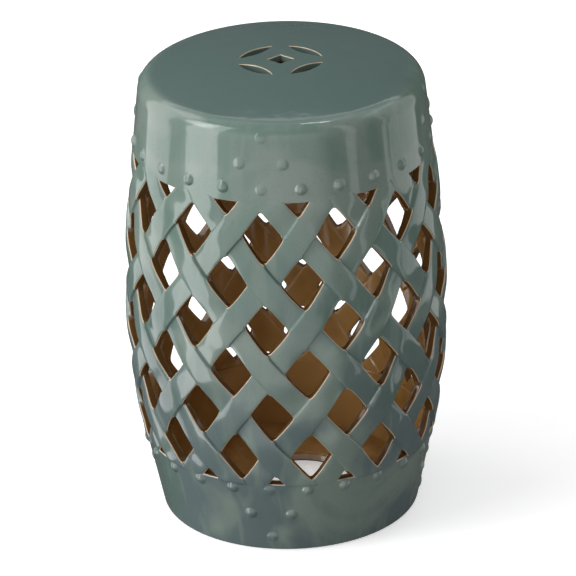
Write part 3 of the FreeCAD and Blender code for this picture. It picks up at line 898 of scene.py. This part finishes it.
SWEEP_SIZE = 14.0
PAPER_SHADE = (0.40, 0.40, 0.40, 1)
PAPER_WHITE = (0.95, 0.95, 0.95, 1)
PAPER_GLOW = 0.45
sweep_mesh = bpy.data.meshes.new("sweep")
sweep_bm = bmesh.new()
bmesh.ops.create_grid(sweep_bm, x_segments=1, y_segments=1, size=SWEEP_SIZE / 2)
sweep_bm.to_mesh(sweep_mesh)
sweep_bm.free()
sweep = bpy.data.objects.new("sweep", sweep_mesh)
bpy.context.collection.objects.link(sweep)
sweep.visible_glossy = False
paper = bpy.data.materials.new("sweep_paper")
paper.use_nodes = True
paper_tree = paper.node_tree
paper_bsdf = paper_tree.nodes["Principled BSDF"]
paper_bsdf.inputs["Roughness"].default_value = 1.0
paper_bsdf.inputs["Specular IOR Level"].default_value = 0.0
paper_path = paper_tree.nodes.new("ShaderNodeLightPath")
paper_tone = blend_colours(
    paper_tree, paper_path.outputs["Is Camera Ray"], PAPER_SHADE, PAPER_WHITE,
)
paper_tree.links.new(paper_tone, paper_bsdf.inputs["Base Color"])
paper_bsdf.inputs["Emission Color"].default_value = (1, 1, 1, 1)
paper_tree.links.new(
    sums(paper_tree, "MULTIPLY", paper_path.outputs["Is Camera Ray"], PAPER_GLOW),
    paper_bsdf.inputs["Emission Strength"],
)
sweep_mesh.materials.append(paper)

# The room round the stool. Each soft box is seen in the glaze: its bearing from the front
# towards the right, half its width, its low and high edge, in degrees, how soft its edges
# are, and how bright it is.
soft_boxes = (
    (-26, 56, -36, 34, 10, 1.1),
    (-64.5, 14.5, -35, 56, 0.8, 3.1),
    (-78, 13, 28, 50, 6, 5.5),
    (-113.5, 16.5, -36, 56, 0.8, 1.7),
    (54, 4, -30, 52, 0.8, 1.1),
    (86, 2.5, -30, 52, 0.8, 1.1),
    (109, 19, -24, 52, 0.8, 1.1),
)
# The boxes overhead lie flat: where their edges are, as slopes back and aside from straight
# up, and how soft and how bright they are.
overhead_boxes = (
    (0.12, 1.087, -1.15, 1.15, 0.02, 0.6),
    (0.90, 1.087, -1.15, 1.15, 0.02, 0.8),
    (0.08, 0.16, 0.13, 0.33, 0.03, 9.0),
)
ROOM_SHADE = 0.08
LEVEL_AIR = 0.05
world = bpy.data.worlds.new("studio")
bpy.context.scene.world = world
world.use_nodes = True
air = world.node_tree
air_split = air.nodes.new("ShaderNodeSeparateXYZ")
air.links.new(air.nodes.new("ShaderNodeTexCoord").outputs["Generated"], air_split.inputs["Vector"])
air_right, air_back, air_up = (air_split.outputs[axis] for axis in "XYZ")
air_front = sums(air, "MULTIPLY", air_back, -1.0)
air_bearing = sums(air, "DEGREES", sums(air, "ARCTAN2", air_right, air_front), 0.0)
air_rise = sums(air, "DEGREES", sums(air, "ARCSINE", air_up, 0.0), 0.0)


def between(value, low, high, edge):
    """A mask that is 1 from low to high, with soft edges."""
    above = ramp(air, value, low - edge, low + edge)
    return sums(air, "MULTIPLY", above, ramp(air, value, high + edge, high - edge))


glow = ROOM_SHADE
for bearing, half, low, high, edge, brightness in soft_boxes:
    aside = between(air_bearing, bearing - half, bearing + half, edge)
    box = sums(air, "MULTIPLY", aside, between(air_rise, low, high, edge))
    glow = sums(air, "ADD", glow, sums(air, "MULTIPLY", box, brightness))
safe_up = sums(air, "MAXIMUM", air_up, LEVEL_AIR)
slope_back = sums(air, "DIVIDE", air_back, safe_up)
slope_aside = sums(air, "DIVIDE", air_right, safe_up)
for near, far, left, right, edge, brightness in overhead_boxes:
    back = between(slope_back, near, far, edge)
    box = sums(air, "MULTIPLY", back, between(slope_aside, left, right, edge))
    glow = sums(air, "ADD", glow, sums(air, "MULTIPLY", box, brightness))
air_path = air.nodes.new("ShaderNodeLightPath")
air_mix = air.nodes.new("ShaderNodeMix")
air.links.new(air_path.outputs["Is Camera Ray"], air_mix.inputs["Factor"])
air.links.new(glow, air_mix.inputs["A"])
air_mix.inputs["B"].default_value = 1.0
air.links.new(air_mix.outputs["Result"], air.nodes["Background"].inputs["Strength"])
air.nodes["Background"].inputs["Color"].default_value = (1, 1, 1, 1)

camera_target = Vector((0, 0, 223.9 * MM))
camera_distance = 4.767
camera_elevation = math.radians(25.134)
camera_roll = math.radians(-1.44)
camera_lens = 302.6
camera_shift = 0.0029
camera_data = bpy.data.cameras.new("camera")
camera_data.lens = camera_lens
camera_data.shift_x = camera_shift
camera = bpy.data.objects.new("camera", camera_data)
bpy.context.collection.objects.link(camera)
camera_back = Vector((0, -math.cos(camera_elevation), math.sin(camera_elevation)))
camera.matrix_world = (
    Matrix.Translation(camera_target + camera_back * camera_distance)
    @ (-camera_back).to_track_quat("-Z", "Y").to_matrix().to_4x4()
    @ Matrix.Rotation(camera_roll, 4, "Z")
)
bpy.context.scene.camera = camera

bpy.context.scene.view_settings.view_transform = "Standard"
